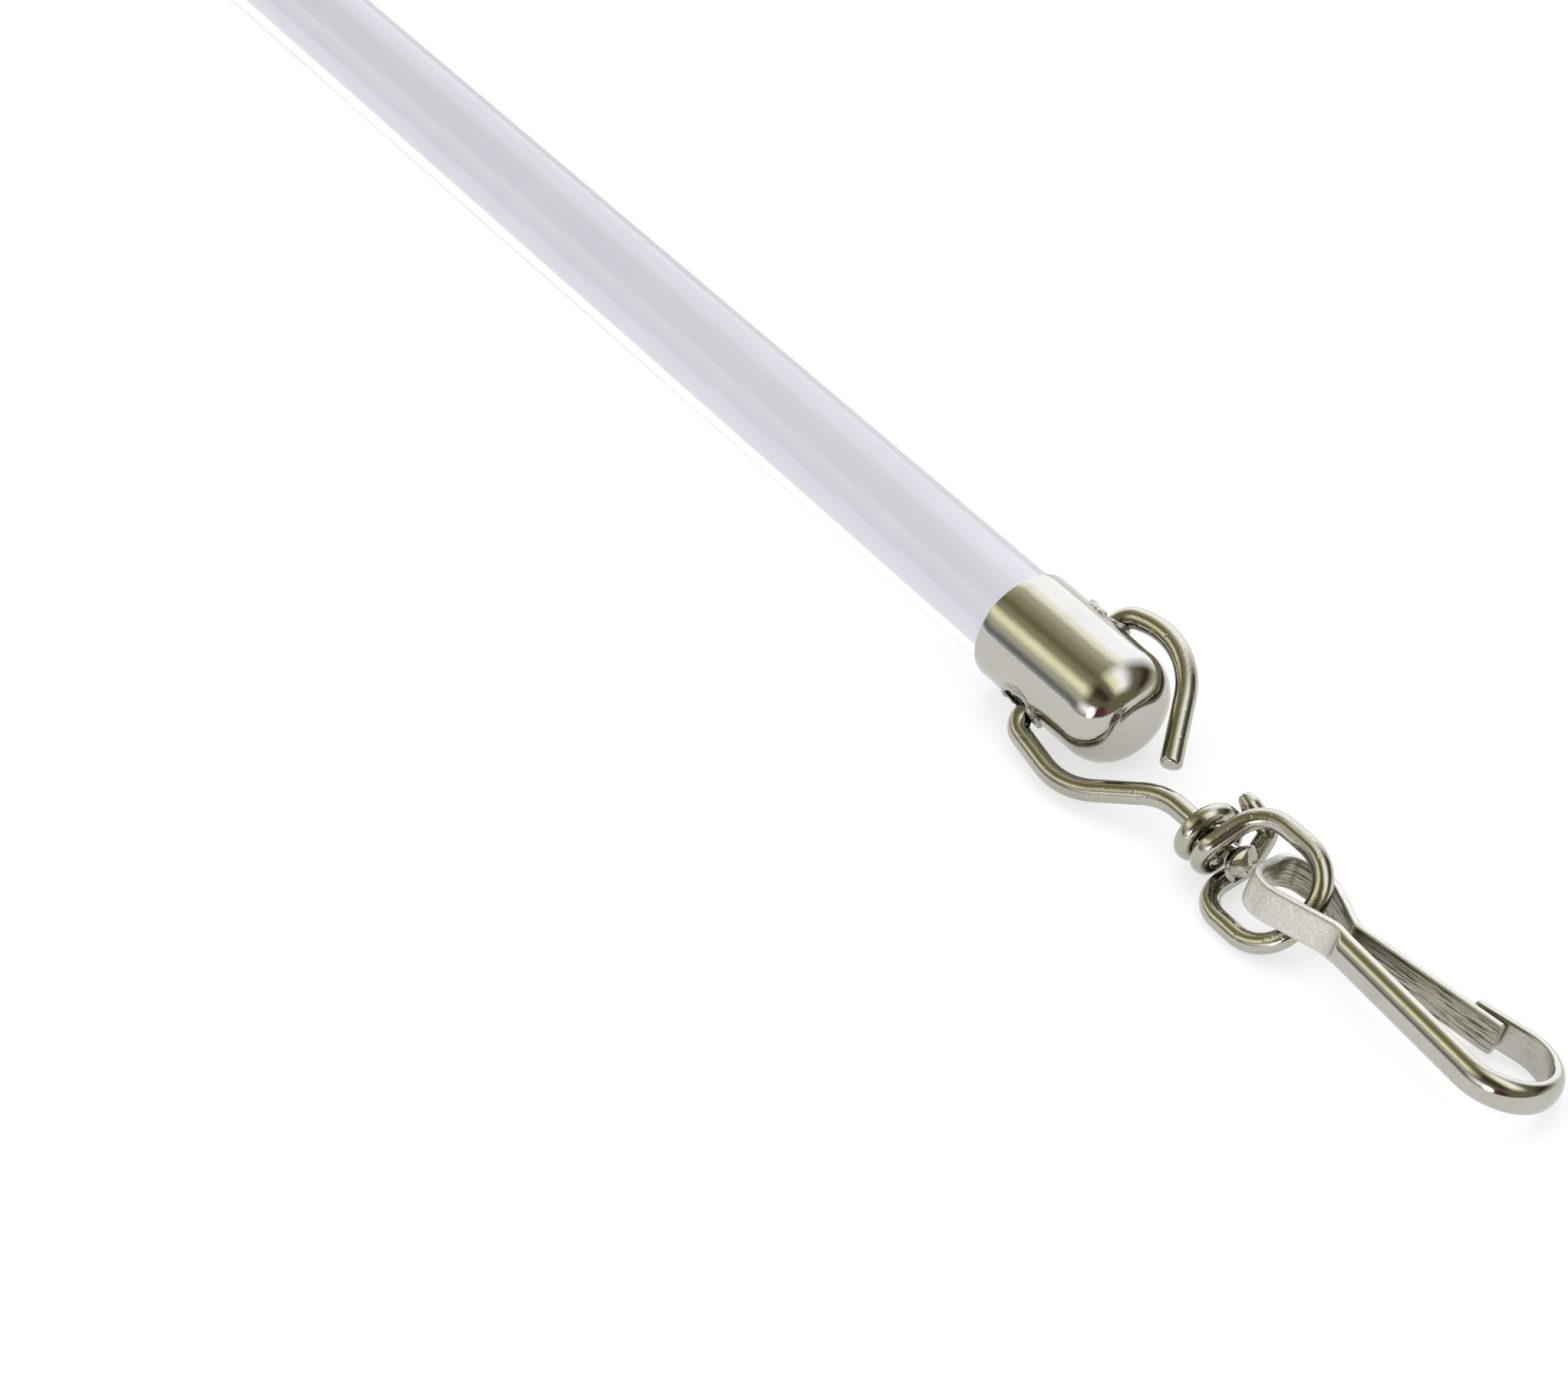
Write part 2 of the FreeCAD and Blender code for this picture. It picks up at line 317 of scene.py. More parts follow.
for name, offset, size, watts in LAMPS:
    data = bpy.data.lights.new(name, "AREA")
    data.size = size
    data.energy = watts
    lamp = bpy.data.objects.new(name, data)
    bpy.context.scene.collection.objects.link(lamp)
    lamp.location = FITTINGS + Vector(offset)
    lamp.rotation_mode = "QUATERNION"
    lamp.rotation_quaternion = (FITTINGS - lamp.location).to_track_quat("-Z", "Y")
    lamp.visible_glossy = False
bpy.context.scene.view_settings.view_transform = "Standard"
print("lamps", [name for name, *_ in LAMPS])

# %% [markdown]
# ## Shared finishes
# Three effects come back on several fittings, so each is a node group. `plating_tone` is the slow
# drift of colour and gloss in nickel plate, with a few small nicks. `tumbled_grain` is the fine
# pebbled skin that tumbling leaves. `drawn_lines` are the long scratches of a strip that was pulled
# through a die.

# %% Plating tone
PATCH_RANGE = (0.4, 0.75)
SPECK_RANGE = (0.62, 0.9)
NICK_RANGE = (0.66, 0.72)
PATCH_SHARE = 0.5

plating, enter, leave = new_group(
    "plating_tone",
    [("Pale", "Color", (0.55, 0.53, 0.48, 1)), ("Deep", "Color", (0.45, 0.42, 0.35, 1)),
     ("Gloss", "Float", 0.1), ("Haze", "Float", 0.12)],
    [("Colour", "Color"), ("Roughness", "Float"), ("Nicks", "Float")])
place = add(plating, "TexCoord").outputs["Object"]
drift = add(plating, "TexNoise", {"Vector": place, "Scale": 210.0, "Detail": 3.0, "Roughness": 0.6})
specks = add(plating, "TexNoise", {"Vector": place, "Scale": 2600.0, "Detail": 2.0})
knocks = add(plating, "TexNoise", {"Vector": place, "Scale": 1300.0, "Detail": 1.0})
patch = between(plating, drift.outputs["Fac"], *PATCH_RANGE)
speck = between(plating, specks.outputs["Fac"], *SPECK_RANGE)
nicks = between(plating, knocks.outputs["Fac"], *NICK_RANGE)
worn = calculate(plating, "MULTIPLY_ADD", patch, PATCH_SHARE, speck, clamp=True)
tone = mix_colour(plating, worn, enter.outputs["Pale"], enter.outputs["Deep"])
rough = calculate(plating, "MULTIPLY_ADD", worn, enter.outputs["Haze"], enter.outputs["Gloss"])
plating.links.new(tone, leave.inputs["Colour"])
plating.links.new(rough, leave.inputs["Roughness"])
plating.links.new(nicks, leave.inputs["Nicks"])
print("group", plating.name)

# %% Tumbled grain
PIT_RANGE = (0.46, 0.62)

grain, enter, leave = new_group(
    "tumbled_grain", [("Scale", "Float", 5200.0)], [("Height", "Float"), ("Pits", "Float")])
place = add(grain, "TexCoord").outputs["Object"]
fine = add(grain, "TexNoise", {"Vector": place, "Scale": enter.outputs["Scale"], "Detail": 4.0,
                               "Roughness": 0.7})
grain.links.new(fine.outputs["Fac"], leave.inputs["Height"])
grain.links.new(between(grain, fine.outputs["Fac"], *PIT_RANGE), leave.inputs["Pits"])
print("group", grain.name)

# %% Drawn lines
LINE_RANGE = (0.5, 0.62)

drawn, enter, leave = new_group(
    "drawn_lines",
    [("Run", "Vector", None), ("Fineness", "Float", 6.0), ("Stretch", "Float", 0.28)],
    [("Lines", "Float"), ("Height", "Float")])
ways = add(drawn, "SeparateXYZ", {"Vector": enter.outputs["Run"]})
long_way = calculate(drawn, "MULTIPLY", ways.outputs["X"], enter.outputs["Stretch"])
cross_way = calculate(drawn, "MULTIPLY", ways.outputs["Y"], enter.outputs["Fineness"])
flat = add(drawn, "CombineXYZ", {"X": long_way, "Y": cross_way})
streaks = add(drawn, "TexNoise", {"Vector": flat.outputs[0], "Scale": 1.0, "Detail": 3.0,
                                  "Roughness": 0.6})
drawn.links.new(between(drawn, streaks.outputs["Fac"], *LINE_RANGE), leave.inputs["Lines"])
drawn.links.new(streaks.outputs["Fac"], leave.inputs["Height"])
print("group", drawn.name)

# %% [markdown]
# ## Mesh helpers
# Every wire is straight runs joined by arcs, as a bending tool leaves it. `bent_line` walks such a
# line in small steps. `round_wire` sets a ring at each step and joins the rings. The rings are turned
# only as much as the line turns, so the surface doesn't twist.

# %% Helpers for bent lines
ARC_STEP = 5
ARC_LEAST = 3


def bent_line(corners, radii, step=0.25):
    """Points along straight runs, with an arc of its own radius at each corner."""
    points = [corners[0]]

    def straight(end):
        count = max(1, round((end - points[-1]).length / step))
        start = points[-1]
        points.extend(start.lerp(end, k / count) for k in range(1, count + 1))

    for before, corner, after, radius in zip(corners, corners[1:], corners[2:], radii):
        first = (corner - before).normalized()
        second = (after - corner).normalized()
        bend = first.angle(second)
        start = corner - first * radius * math.tan(bend / 2)
        centre = corner + (second - first).normalized() * radius / math.cos(bend / 2)
        axis = first.cross(second).normalized()
        straight(start)
        count = max(ARC_LEAST, math.ceil(math.degrees(bend) / ARC_STEP))
        turns = [Quaternion(axis, bend * k / count) for k in range(1, count + 1)]
        points.extend(centre + turn @ (start - centre) for turn in turns)
    straight(corners[-1])
    return points


def headings(points):
    """The direction of the line at each of its points."""
    ends = [points[0], *points, points[-1]]
    return [(ends[i + 2] - ends[i]).normalized() for i in range(len(points))]


def steps_along(points):
    """Distance from the start at each point of a line."""
    total = [0.0]
    for a, b in zip(points, points[1:]):
        total.append(total[-1] + (b - a).length)
    return total


def full_turn(sides):
    """Even angles round a circle."""
    return [2 * math.pi * k / sides for k in range(sides)]


print("line helpers ready")

# %% [markdown]
# A skin over rings also gets a map called `run`, which stores the distance along and round the piece.
# The drawn lines follow it.

# %% Helpers for rings
SHARP = 38


def finished_mesh(mesh):
    """Smooth faces, with edges over the sharp angle kept crisp, as a linked object."""
    mesh.shade_smooth()
    mesh.set_sharp_from_angle(angle=math.radians(SHARP))
    made = bpy.data.objects.new(mesh.name, mesh)
    bpy.context.scene.collection.objects.link(made)
    return made


def ring_mesh(name, rings, distances, spans, closed_ends=True, masks=None):
    """A skin over rings of points in millimetres. The run map holds distance along and round."""
    mesh = bpy.data.meshes.new(name)
    bm = bmesh.new()
    rows = [[bm.verts.new(p / 1000) for p in ring] for ring in rings]
    run_map = bm.loops.layers.uv.new("run")
    count = len(rings[0])
    for i in range(len(rows) - 1):
        for k in range(count):
            n = (k + 1) % count
            face = bm.faces.new((rows[i][k], rows[i][n], rows[i + 1][n], rows[i + 1][k]))
            places = [(i, k), (i, k + 1), (i + 1, k + 1), (i + 1, k)]
            for loop, (a, b) in zip(face.loops, places):
                loop[run_map].uv = (distances[a], spans[a] * b / count)
    if closed_ends:
        bm.faces.new(list(reversed(rows[0])))
        bm.faces.new(rows[-1])
    bmesh.ops.recalc_face_normals(bm, faces=bm.faces)
    bm.to_mesh(mesh)
    bm.free()
    for label, values in (masks or {}).items():
        layer = mesh.attributes.new(label, "FLOAT", "POINT")
        layer.data.foreach_set("value", [v for row in values for v in row])
    return finished_mesh(mesh)


def round_wire(name, points, radius_at, sides=40):
    """A round wire along a line. radius_at gives its radius at a distance from the start."""
    ways = headings(points)
    distances = steps_along(points)
    edge = ways[0].orthogonal().normalized()
    rings = []
    for i, (point, way) in enumerate(zip(points, ways)):
        if i:
            edge = ways[i - 1].rotation_difference(way) @ edge
        radius = radius_at(distances[i], distances[-1])
        other = way.cross(edge)
        rings.append([point + edge * radius * math.cos(t) + other * radius * math.sin(t)
                      for t in full_turn(sides)])
    spans = [2 * math.pi * radius_at(d, distances[-1]) for d in distances]
    return ring_mesh(name, rings, distances, spans)


print("ring helpers ready")

# %% [markdown]
# The rod and the cap are round about the same line, so both are turned from a profile. Both are then
# drilled by the same cutter.

# %% Helpers for turned and drilled pieces
AXIS_R = 0.02


def turned(name, profile, sides):
    """A closed profile of (distance along the rod, radius), turned about the rod's axis."""
    axis_high = Vector((0, 0, pivot.z))
    rings = []
    for x, radius in profile:
        rings.append([axis_high + Vector((x, radius * math.cos(t), radius * math.sin(t)))
                      for t in full_turn(sides)])
    lengths = [0.0]
    for a, b in zip(profile, profile[1:]):
        lengths.append(lengths[-1] + math.dist(a, b))
    return ring_mesh(name, rings, lengths, [2 * math.pi * r for _, r in profile])


def cut_hole(piece, hole):
    """The piece with the hole's shape taken out of it."""
    cutter = piece.modifiers.new("hole", "BOOLEAN")
    cutter.object = hole
    cutter.solver = "EXACT"
    bpy.context.view_layer.update()
    cut = piece.evaluated_get(bpy.context.evaluated_depsgraph_get())
    done = bpy.data.meshes.new_from_object(cut)
    piece.modifiers.clear()
    name = piece.name
    bpy.data.objects.remove(piece)
    done.name = name
    done.materials.clear()
    return finished_mesh(done)


print("turning helpers ready")

# %% [markdown]
# ## The clear rod
# The rod is extruded clear plastic, 9.5 mm thick. It carries faint lines from the die and a slight
# cloudiness. Its far end is sawn plain and lightly broken at the edge, which leaves it frosted, so
# those faces have a finish of their own.

# %% Finish of the rod
clear_look, tree, shader, output = new_material("clear_rod")
place = add(tree, "TexCoord").outputs["Object"]
die_scale = add(tree, "Mapping", {"Vector": place, "Scale": (18.0, 900.0, 900.0)})
die = add(tree, "TexNoise", {"Vector": die_scale.outputs[0], "Scale": 1.0, "Detail": 3.0})
cloud = add(tree, "TexNoise", {"Vector": place, "Scale": 120.0, "Detail": 4.0}).outputs["Fac"]
tint = colour_ramp(tree, cloud, [(0, (0.90, 0.90, 0.94)), (1, (0.97, 0.97, 0.985))])
gloss = add(tree, "MapRange", {"Value": cloud, "To Min": 0.03, "To Max": 0.12})
bump = add(tree, "Bump", {"Height": die.outputs["Fac"], "Strength": 0.12, "Distance": 0.0001})
shader.inputs["IOR"].default_value = 1.49
shader.inputs["Transmission Weight"].default_value = 1.0
tree.links.new(tint.outputs[0], shader.inputs["Base Color"])
tree.links.new(gloss.outputs[0], shader.inputs["Roughness"])
tree.links.new(bump.outputs[0], shader.inputs["Normal"])
depth = add(tree, "VolumeAbsorption", {"Color": (0.34, 0.34, 0.46, 1), "Density": 48.0})
tree.links.new(depth.outputs[0], output.inputs["Volume"])
shadow = add(tree, "LightPath").outputs["Is Shadow Ray"]
passing = add(tree, "BsdfTransparent", {"Color": (0.9, 0.9, 0.92, 1)})
lets_light = add(tree, "MixShader", {0: shadow, 1: shader.outputs[0], 2: passing.outputs[0]})
tree.links.new(lets_light.outputs[0], output.inputs["Surface"])
print("finish", clear_look.name)

# %% Finish of the sawn end
sawn_look, tree, shader, _ = new_material("sawn_end")
place = add(tree, "TexCoord").outputs["Object"]
saw_scale = add(tree, "Mapping", {"Vector": place, "Scale": (1.0, 700.0, 9000.0)})
saw = add(tree, "TexNoise", {"Vector": saw_scale.outputs[0], "Scale": 1.0, "Detail": 2.0})
sawn = colour_ramp(tree, saw.outputs["Fac"], [(0, (0.50, 0.54, 0.68)), (1, (0.72, 0.75, 0.86))])
shader.inputs["Roughness"].default_value = 0.5
tree.links.new(sawn.outputs[0], shader.inputs["Base Color"])
print("finish", sawn_look.name)

# %% [markdown]
# The rod is one turned profile. Short rings stand near the cross hole, so that cutting the hole
# leaves the long faces whole.

# %% Turn the rod and drill it
ROD_R = 4.75
ROD_EDGE = 0.35
ROD_SIDES = 128
SAWN = 0.25
LONG_RINGS = (-200, 0, 200)
SHORT_RINGS = (-8, -4, -3, -2, -1, 0, 1, 2, 3, 4)
DRILL_REACH = 12
DRILL_STEP = 6
DRILL_SIDES = 64

rod_low, rod_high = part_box("rod")
rod_tail = rod_low.x * 1000
rod_top = rod_high.x * 1000
profile = [(rod_tail, AXIS_R), (rod_tail, ROD_R - ROD_EDGE), (rod_tail + ROD_EDGE, ROD_R)]
profile += [(x, ROD_R) for x in LONG_RINGS]
profile += [(hole_x + x, ROD_R) for x in SHORT_RINGS]
profile += [(rod_top, ROD_R), (rod_top, AXIS_R)]
rod = turned("rod_clear", profile, ROD_SIDES)
drill_ends = [hole_middle - cross * DRILL_REACH, hole_middle + cross * DRILL_REACH]
drill_line = bent_line(drill_ends, [], DRILL_STEP)
drill = round_wire("drill", drill_line, lambda distance, whole: HOLE_R, DRILL_SIDES)
rod = cut_hole(rod, drill)
rod.data.materials.append(clear_look)
rod.data.materials.append(sawn_look)
for face in rod.data.polygons:
    face.material_index = int(face.center.x * 1000 < rod_tail + SAWN)
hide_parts("rod")
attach(rod, "stick")
print("rod", round(rod_top - rod_tail, 1), "mm,", len(rod.data.polygons), "faces")

# %% [markdown]
# ## Nickel finishes
# The cap is pressed and polished, the wires are drawn and plated, and the strip of the snap hook is
# tumbled, with a dull flattened loop. One builder makes the polished kind with its own colours and
# gloss. Tiny bumps from the grain and a few nicks break the reflections a little, as on real plate.

# %% Polished nickel
GRAIN_SCALE = 1400.0
GRAIN_DEPTH = 0.00005


def plated(tree, pale, deep, gloss, haze):
    """The plating group with its own colours and gloss."""
    values = {"Pale": (*pale, 1), "Deep": (*deep, 1), "Gloss": gloss, "Haze": haze}
    return add(tree, "Group", values, node_tree=plating)


def metal_surface(tree, shader, colour, rough, bump):
    """Joins a metal's colour, roughness and bumps to its shader."""
    shader.inputs["Metallic"].default_value = 1.0
    tree.links.new(colour, shader.inputs["Base Color"])
    tree.links.new(rough, shader.inputs["Roughness"])
    tree.links.new(bump.outputs[0], shader.inputs["Normal"])


def polished_nickel(name, pale, deep, gloss, haze, ripple, nicks):
    """Polished plate: ripple is the strength of its bumps, nicks is how deep the knocks are."""
    material, tree, shader, _ = new_material(name)
    tone = plated(tree, pale, deep, gloss, haze)
    skin = add(tree, "Group", {"Scale": GRAIN_SCALE}, node_tree=grain)
    height = calculate(tree, "MULTIPLY_ADD", tone.outputs["Nicks"], -nicks, skin.outputs["Height"])
    bump = add(tree, "Bump", {"Height": height, "Strength": ripple, "Distance": GRAIN_DEPTH})
    metal_surface(tree, shader, tone.outputs["Colour"], tone.outputs["Roughness"], bump)
    return material


cap_look = polished_nickel("cap_nickel", pale=(0.48, 0.465, 0.42), deep=(0.42, 0.40, 0.345),
                           gloss=0.07, haze=0.06, ripple=0.15, nicks=0.15)
wire_look = polished_nickel("wire_nickel", pale=(0.45, 0.43, 0.375), deep=(0.31, 0.29, 0.225),
                            gloss=0.045, haze=0.09, ripple=0.3, nicks=1.0)
burr_look = polished_nickel("burr_nickel", pale=(0.46, 0.44, 0.40), deep=(0.23, 0.21, 0.17),
                            gloss=0.2, haze=0.25, ripple=1.0, nicks=0.5)
print("finishes", cap_look.name, wire_look.name, burr_look.name)

# %% [markdown]
# ## The cap
# The cap is a thin cup pressed from sheet, with a generous round corner at its closed end. It is one
# closed profile, outside then inside, turned about the rod, and then drilled across with the rod.

# %% Turn the cap and drill it
CAP_R = 5.37
CAP_WALL = 0.5
CAP_CORNER = 3.6
CAP_FLAT = 1.0
CAP_SIDES = 160
RIM = 0.2
RIM_TURNS = (1.57, 1.05, 0.52, 0)
SIDE_STEP = 0.5
SIDE_RINGS = range(2, 24)
OUTER_ARC = 24
INNER_ARC = 12

cap_low, cap_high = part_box("cap")
cap_tail = cap_low.x * 1000
cap_end = cap_high.x * 1000
cap_floor = cap_end - CAP_WALL


def corner_arc(x, radius, corner, count):
    """A quarter circle from the side to the end of the cup."""
    turns = [math.pi / 2 * k / count for k in range(count + 1)]
    return [(x - corner + corner * math.sin(t), radius - corner + corner * math.cos(t))
            for t in turns]


outside = [(cap_tail + RIM * (1 - math.sin(t)), CAP_R - RIM + RIM * math.cos(t))
           for t in RIM_TURNS]
outside += [(cap_tail + SIDE_STEP * k, CAP_R) for k in SIDE_RINGS]
outside = [p for p in outside if p[0] < cap_end - CAP_CORNER]
outside += corner_arc(cap_end, CAP_R, CAP_CORNER, OUTER_ARC)
outside += [(cap_end, CAP_FLAT), (cap_end, AXIS_R)]
inside = [(cap_floor, AXIS_R), (cap_floor, CAP_FLAT)]
inside += reversed(corner_arc(cap_floor, CAP_R - CAP_WALL, CAP_CORNER - CAP_WALL, INNER_ARC))
inside += [(cap_tail, CAP_R - CAP_WALL), (cap_tail, CAP_R - RIM)]
cap = turned("cap_cup", outside + inside, CAP_SIDES)
cap = cut_hole(cap, drill)
bpy.data.objects.remove(drill)
cap.data.materials.append(cap_look)
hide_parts("cap")
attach(cap, "stick")
print("cap", round(cap_end - cap_tail, 2), "mm long,", len(cap.data.polygons), "faces")

# %% [markdown]
# ## Burred lips
# The drill pushed a ragged lip of metal out round each hole. The lip is a band round the hole that
# follows the curved side of the cap, and smooth noise pulls its rim up and down.

# %% Raise the lips
LIP_WALL = 0.45
LIP_HIGH = 0.44
LIP_LOWEST = 0.12
LIP_USUAL = 0.62
LIP_INNER = 0.1
WAVES = 1.7
WAVE_HIGH = 0.7
TEARS = 6
TEAR_HIGH = 0.35
TEAR_OUT = 0.25
TEAR_SEED = 5
LIP_SIDES = 120
LIP_GIRTH = 14.0
# A ring of the lip is its distance out from the hole, and its share of the lip's height. Below the
# cap's skin the second number is a depth instead.
LIP_RINGS = ((LIP_WALL, -0.25), (LIP_WALL, 0.35), (LIP_WALL * 0.75, 0.85), (0.2, 1.0),
             (0.02, 0.8), (-0.04, -0.9))
sideways = along.cross(cross)


def burr(name, side, seed):
    """One lip. side is 1 or -1, for the end of the hole that it stands on."""
    rings = []
    for reach, lift in LIP_RINGS:
        ring = []
        for t in full_turn(LIP_SIDES):
            x, y = math.cos(t), math.sin(t)
            wave = noise.noise(Vector((x * WAVES, y * WAVES, seed)))
            tear = noise.noise(Vector((x * TEARS, y * TEARS, seed + TEAR_SEED)))
            share = LIP_USUAL + wave * WAVE_HIGH + tear * TEAR_HIGH
            high = LIP_HIGH * max(LIP_LOWEST, min(1.0, share))
            out = HOLE_R + reach * (1 + TEAR_OUT * tear if reach > LIP_INNER else 1)
            b = out * y
            skin = math.sqrt(CAP_R ** 2 - b * b)
            point = hole_middle + along * out * x + sideways * b
            ring.append(point + cross * side * (skin + (high * lift if lift > 0 else lift)))
        rings.append(ring)
    spans = [LIP_GIRTH] * len(rings)
    lip = ring_mesh(name, rings, list(range(len(rings))), spans, closed_ends=False)
    lip.data.materials.append(burr_look)
    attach(lip, "stick")
    return lip


for name, side, seed in (("lip_upper", 1, 2.0), ("lip_lower", -1, 9.0)):
    print("lip", burr(name, side, seed).name)

# %% [markdown]
# ## The hook wire
# A round wire passes through the cap and rod. One leg curls over the cap's end and stops free, the
# other runs on as the straight shank of the swivel, and ends in a pinched head that keeps the eye on.
# The free end was nipped off, so it rounds over for a short way.

# %% Bend the hook wire
HOOK_CORNERS = [(13.9, -0.75), (9.0, 5.9), (4.65, 8.0), (0, 6.65), (0, -6.97), (8.01, -8.33),
                (15.51, -2.94)]
HOOK_RADII = [7.6, 7.6, 1.7, 1.7, 7.0, 6.0]
SHANK_SIDE = -2.94
HEAD_FROM = 24.35
HEAD_ROOT = 0.3
CUT_ROUND = 0.16
HOOK_NIP = 0.25
NIP_RINGS = (0.15, 0.35, 0.6)


def in_hook(reach, side):
    """A point of the hook's plane: reach from the pivot, side along it."""
    return pivot + out_way * reach + cross * side


def rounding(distance, nip):
    """The share of its radius that a wire keeps at a distance from a nipped end."""
    return 1 - CUT_ROUND * max(0, 1 - distance / nip) ** 2


def hook_radius(distance, whole):
    """The hook wire's radius, with both ends nipped off."""
    return WIRE_R * rounding(min(distance, whole - distance), HOOK_NIP)


hook_corners = [in_hook(*c) for c in HOOK_CORNERS] + [in_hook(HEAD_FROM + HEAD_ROOT, SHANK_SIDE)]
hook_line = bent_line(hook_corners, HOOK_RADII)
hook_line[1:1] = [hook_line[0].lerp(hook_line[1], k) for k in NIP_RINGS]
hook = round_wire("hook_wire_bent", hook_line, hook_radius)
hook.data.materials.append(wire_look)
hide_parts("hook_wire")
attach(hook, "hook")
print("hook wire", round(steps_along(hook_line)[-1], 1), "mm")

# %% [markdown]
# The head is a short flare that was pinched from four sides. It starts as a turned nub. Four sloping
# cuts give it crisp edges that catch the light, and each cut face is dished round a low peak, as the
# jaws of the pinching tool leave it.

# %% Turn the head's nub
HEAD_LEN = 2.05
HEAD_R = 1.8
HEAD_FLARE = 0.9
HEAD_BACK = 0.9
HEAD_SIDES = 64

head_at = in_hook(HEAD_FROM, SHANK_SIDE)
nub = [(0.0, WIRE_R * HEAD_BACK), (0.0, WIRE_R), (HEAD_FLARE, HEAD_R), (HEAD_LEN, HEAD_R)]
edge = out_way.orthogonal().normalized()
rings = []
for reach, radius in nub:
    rings.append([head_at + out_way * reach + Quaternion(out_way, t) @ edge * radius
                  for t in full_turn(HEAD_SIDES)])
head = ring_mesh("hook_head", rings, [r for r, _ in nub], [2 * math.pi * r for _, r in nub])
print("nub", len(head.data.polygons), "faces")

# %% Pinch the head
HEAD_PINCHES = 4
HEAD_SLOPE = 42
HEAD_TWIST = 20
HEAD_TIP = 0.25
HEAD_DISH = 0.26
HEAD_PEAK = 0.13
HEAD_RIM = 0.34
HEAD_SHARP = 25
HEAD_SOFT = 0.07
SAME_WAY = 0.99

bm = bmesh.new()
bm.from_mesh(head.data)
upright = Vector((0, 0, 1))
to_axis = upright.rotation_difference(out_way)
tip = (head_at + out_way * (HEAD_LEN + HEAD_TIP)) / 1000
slopes = []
for k in range(HEAD_PINCHES):
    about = Quaternion((0, 0, 1), math.radians(360 / HEAD_PINCHES * k + HEAD_TWIST))
    slope = to_axis @ (about @ Quaternion((0, 1, 0), math.radians(HEAD_SLOPE)) @ upright)
    slopes.append(slope)
    everything = bm.verts[:] + bm.edges[:] + bm.faces[:]
    cut = bmesh.ops.bisect_plane(bm, geom=everything, plane_co=tip, plane_no=slope, clear_outer=True)
    rim = [g for g in cut["geom_cut"] if isinstance(g, bmesh.types.BMEdge)]
    bmesh.ops.edgeloop_fill(bm, edges=rim)
bmesh.ops.recalc_face_normals(bm, faces=bm.faces)
bm.normal_update()
pinched = [f for f in bm.faces if max(f.normal.dot(slope) for slope in slopes) > SAME_WAY]
bmesh.ops.inset_individual(bm, faces=pinched, thickness=HEAD_RIM / 1000, depth=-HEAD_DISH / 1000)
bmesh.ops.poke(bm, faces=pinched, offset=HEAD_PEAK / 1000)
bm.to_mesh(head.data)
bm.free()
head.data.set_sharp_from_angle(angle=math.radians(HEAD_SHARP))
soften = head.modifiers.new("soften", "BEVEL")
soften.width = HEAD_SOFT / 1000
soften.segments = 3
soften.limit_method = "ANGLE"
head.data.materials.append(wire_look)
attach(head, "hook")
print("head", len(slopes), "pinched sides,", len(head.data.polygons), "faces")

# %% [markdown]
# ## The swivel eye
# A thinner wire wraps the shank twice, opens into a ring, passes back under the shank and is nipped
# off to a short tail. The wraps are square corners rounded almost to circles, one step further along
# each quarter turn, so they climb the shank as a spring does.

# %% Draw the eye's line
EYE_R = 0.9
COIL_TOP = 21.0
COIL_PITCH = 2.0
COIL_GAP = 0.25
COIL_R = WIRE_R + COIL_GAP + EYE_R
COIL_ROUND = 0.96
COIL_START = 0.3
COIL_SQUARE = [(-1, -1), (-1, 1), (1, 1), (1, -1), (-1, -1), (-1, 1)]
RING = [(24.6, 4.6, 1.9), (33.0, 4.6, 0), (33.0, -4.68, 0), (24.1, -4.68, -0.2)]
TAIL = [(24.3, 0.2, -2.9), (24.1, 3.4, -2.2), (21.7, 4.05, -0.9)]
EYE_RADII = [COIL_R * COIL_ROUND] * len(COIL_SQUARE) + [3.4, 3.9, 3.9, 2.8, 2.2, 0.9]
EYE_STEP = 0.2
TAIL_POINT = 1.0
TAIL_STEPS = 6


def in_eye(s, p, q):
    """A point on the shank's frame: s along it, p across the ring, q up from the ring."""
    return spin_point + out_way * (s - COIL_TOP) + across * p + up * q


climb = COIL_PITCH / 4
eye_corners = [in_eye(COIL_TOP - 2 * climb, COIL_START, -COIL_R)]
for k, (p, q) in enumerate(COIL_SQUARE):
    eye_corners.append(in_eye(COIL_TOP + (k - 1.5) * climb, p * COIL_R, q * COIL_R))
eye_corners += [in_eye(*c) for c in RING + TAIL]
tail_way = (eye_corners[-1] - eye_corners[-2]).normalized()
eye_line = bent_line(eye_corners, EYE_RADII, EYE_STEP)
tail_from = eye_line[-1]
eye_line += [tail_from + tail_way * TAIL_POINT * k / TAIL_STEPS for k in range(1, TAIL_STEPS + 1)]
print("eye wire", round(steps_along(eye_line)[-1], 1), "mm")

# %% Wrap the eye
EYE_NIP = 0.2
TAIL_BLUNT = 0.6
TIP_ROUND = 0.25
TIP_NIP = 0.3


def eye_radius(distance, whole):
    """The eye's radius: a cut start, and a tail that is pinched to a blunt point."""
    left = whole - distance
    point = EYE_R * (TAIL_BLUNT + (1 - TAIL_BLUNT) * min(1, left / TAIL_POINT))
    point *= 1 - TIP_ROUND * max(0, 1 - left / TIP_NIP) ** 2
    return min(point, EYE_R * rounding(distance, EYE_NIP))


eye = round_wire("swivel_eye_bent", eye_line, eye_radius)
eye.data.materials.append(wire_look)
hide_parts("swivel_eye")
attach(eye, "eye")
print("eye", len(eye.data.polygons), "faces")

